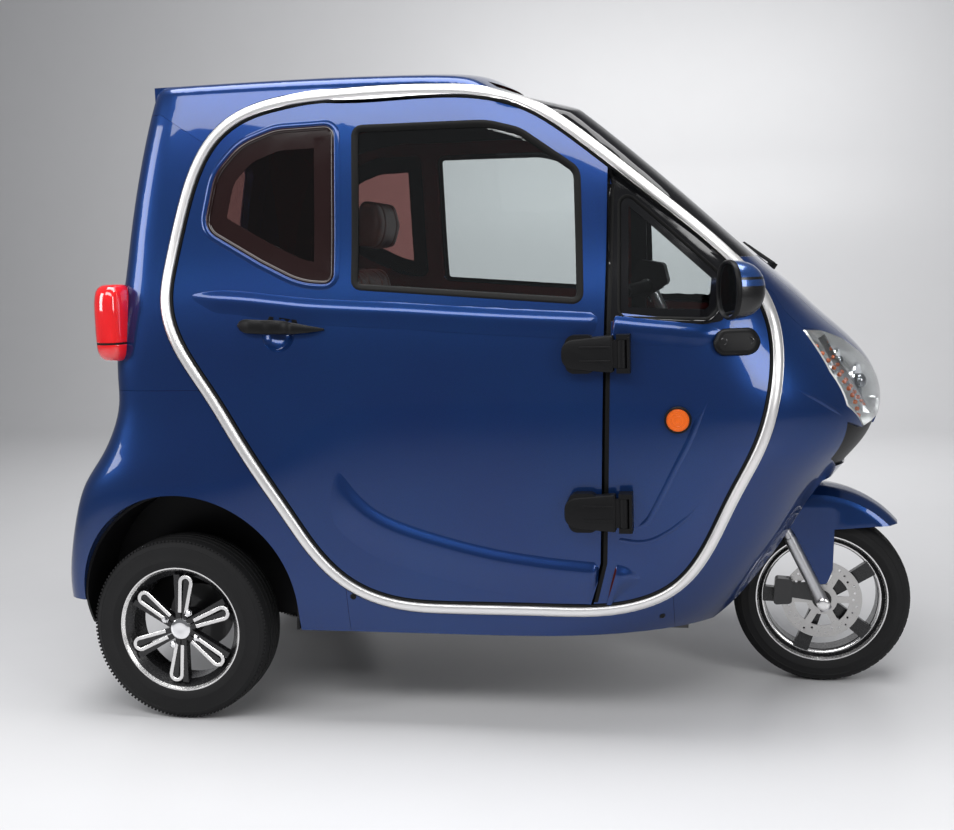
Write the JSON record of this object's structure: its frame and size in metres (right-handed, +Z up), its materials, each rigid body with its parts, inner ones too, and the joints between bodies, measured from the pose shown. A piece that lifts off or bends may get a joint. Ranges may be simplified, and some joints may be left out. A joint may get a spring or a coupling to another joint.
{
  "type": "enclosed three wheeled car",
  "caption": "Enclosed three wheeled car with a steered front wheel on a fork, driven rear wheels, side doors and a tailgate.",
  "frame": {"origin": "on the ground, under the middle of the bounding box, in the car's plane of symmetry", "axes": "+X forward, +Y to the car's left, +Z up"},
  "size_m": [2.295, 1.5386, 1.7137],
  "materials": {
    "body_paint": "metallic clear coat",
    "satin_aluminium": "satin",
    "black_plastic": "satin",
    "pale_plastic": "satin",
    "tinted_glass": "clear",
    "lamp_clear": "clear",
    "lamp_red": "gloss",
    "lamp_amber": "gloss",
    "black_steel": "satin",
    "fork_silver": "satin",
    "disc_steel": "brushed",
    "tyre_rubber": "matte",
    "wheel_alloy": "machined and black",
    "seat_leather": "grained"
  },
  "bodies": {
    "body": {"windshield": "tinted_glass", "roof": "body_paint", "hood": "body_paint", "headlamps": "lamp_clear", "nose_grille": "black_plastic", "front_cowl": "body_paint", "rear_body": "body_paint", "rear_bumper": "body_paint", "rear_fenders": "body_paint", "sills": "body_paint", "door_trims": "satin_aluminium", "door_jambs": "black_plastic", "side_panels": "body_paint", "side_glass": "tinted_glass", "hinge_posts": "black_plastic", "tail_lamps": "lamp_red", "side_markers": "lamp_amber", "mirrors": "black_plastic", "wiper": "black_plastic", "floor_tray": "black_plastic", "wheel_liners": "black_plastic", "chassis_frame": "black_steel", "rear_axle": "black_steel", "leaf_springs": "black_steel", "battery_block": "black_plastic", "driver_seat": "seat_leather", "headrest": "seat_leather", "rear_seat": "seat_leather", "dashboard": "pale_plastic"},
    "tailgate": {"tailgate": "body_paint", "tailgate_glass": "tinted_glass"},
    "door_right": {"door_right": "body_paint", "door_glass_right": "tinted_glass", "door_handle_right": "black_plastic", "hinge_arms_right": "black_plastic"},
    "door_left": {"door_left": "body_paint", "door_glass_left": "tinted_glass", "door_handle_left": "black_plastic", "hinge_arms_left": "black_plastic"},
    "steering": {"fork": "fork_silver", "handlebar": "black_plastic", "front_fender": "body_paint", "brake_caliper": "fork_silver"},
    "front_wheel": {"front_tyre": "tyre_rubber", "front_rim": "wheel_alloy", "brake_disc": "disc_steel"},
    "rear_wheel_right": {"rear_tyre_right": "tyre_rubber", "rear_rim_right": "wheel_alloy"},
    "rear_wheel_left": {"rear_tyre_left": "tyre_rubber", "rear_rim_left": "wheel_alloy"}
  },
  "joints": [
    {"name": "steering", "type": "hinge", "parent": "body", "child": "steering", "pos_m": [0.8719, 0, 0.24], "axis": [-0.4384, 0, 0.8988], "range_deg": [-35, 35]},
    {"name": "front_wheel_spin", "type": "hinge", "parent": "steering", "child": "front_wheel", "pos_m": [0.9075, 0, 0.24], "axis": [0, 1, 0], "continuous": true},
    {"name": "door_right_hinge", "type": "hinge", "parent": "body", "child": "door_right", "pos_m": [0.4085, -0.59, 0.8], "axis": [0, 0, 1], "range_deg": [0, 68]},
    {"name": "door_left_hinge", "type": "hinge", "parent": "body", "child": "door_left", "pos_m": [0.4085, 0.59, 0.8], "axis": [0, 0, -1], "range_deg": [0, 68]},
    {"name": "tailgate_hinge", "type": "hinge", "parent": "body", "child": "tailgate", "pos_m": [-0.8555, 0, 1.582], "axis": [0, 1, 0], "range_deg": [0, 65]},
    {"name": "rear_wheel_right_spin", "type": "hinge", "parent": "body", "child": "rear_wheel_right", "pos_m": [-0.7815, -0.478, 0.247], "axis": [0, 1, 0], "continuous": true},
    {"name": "rear_wheel_left_spin", "type": "hinge", "parent": "body", "child": "rear_wheel_left", "pos_m": [-0.7815, 0.478, 0.247], "axis": [0, 1, 0], "continuous": true}
  ]
}
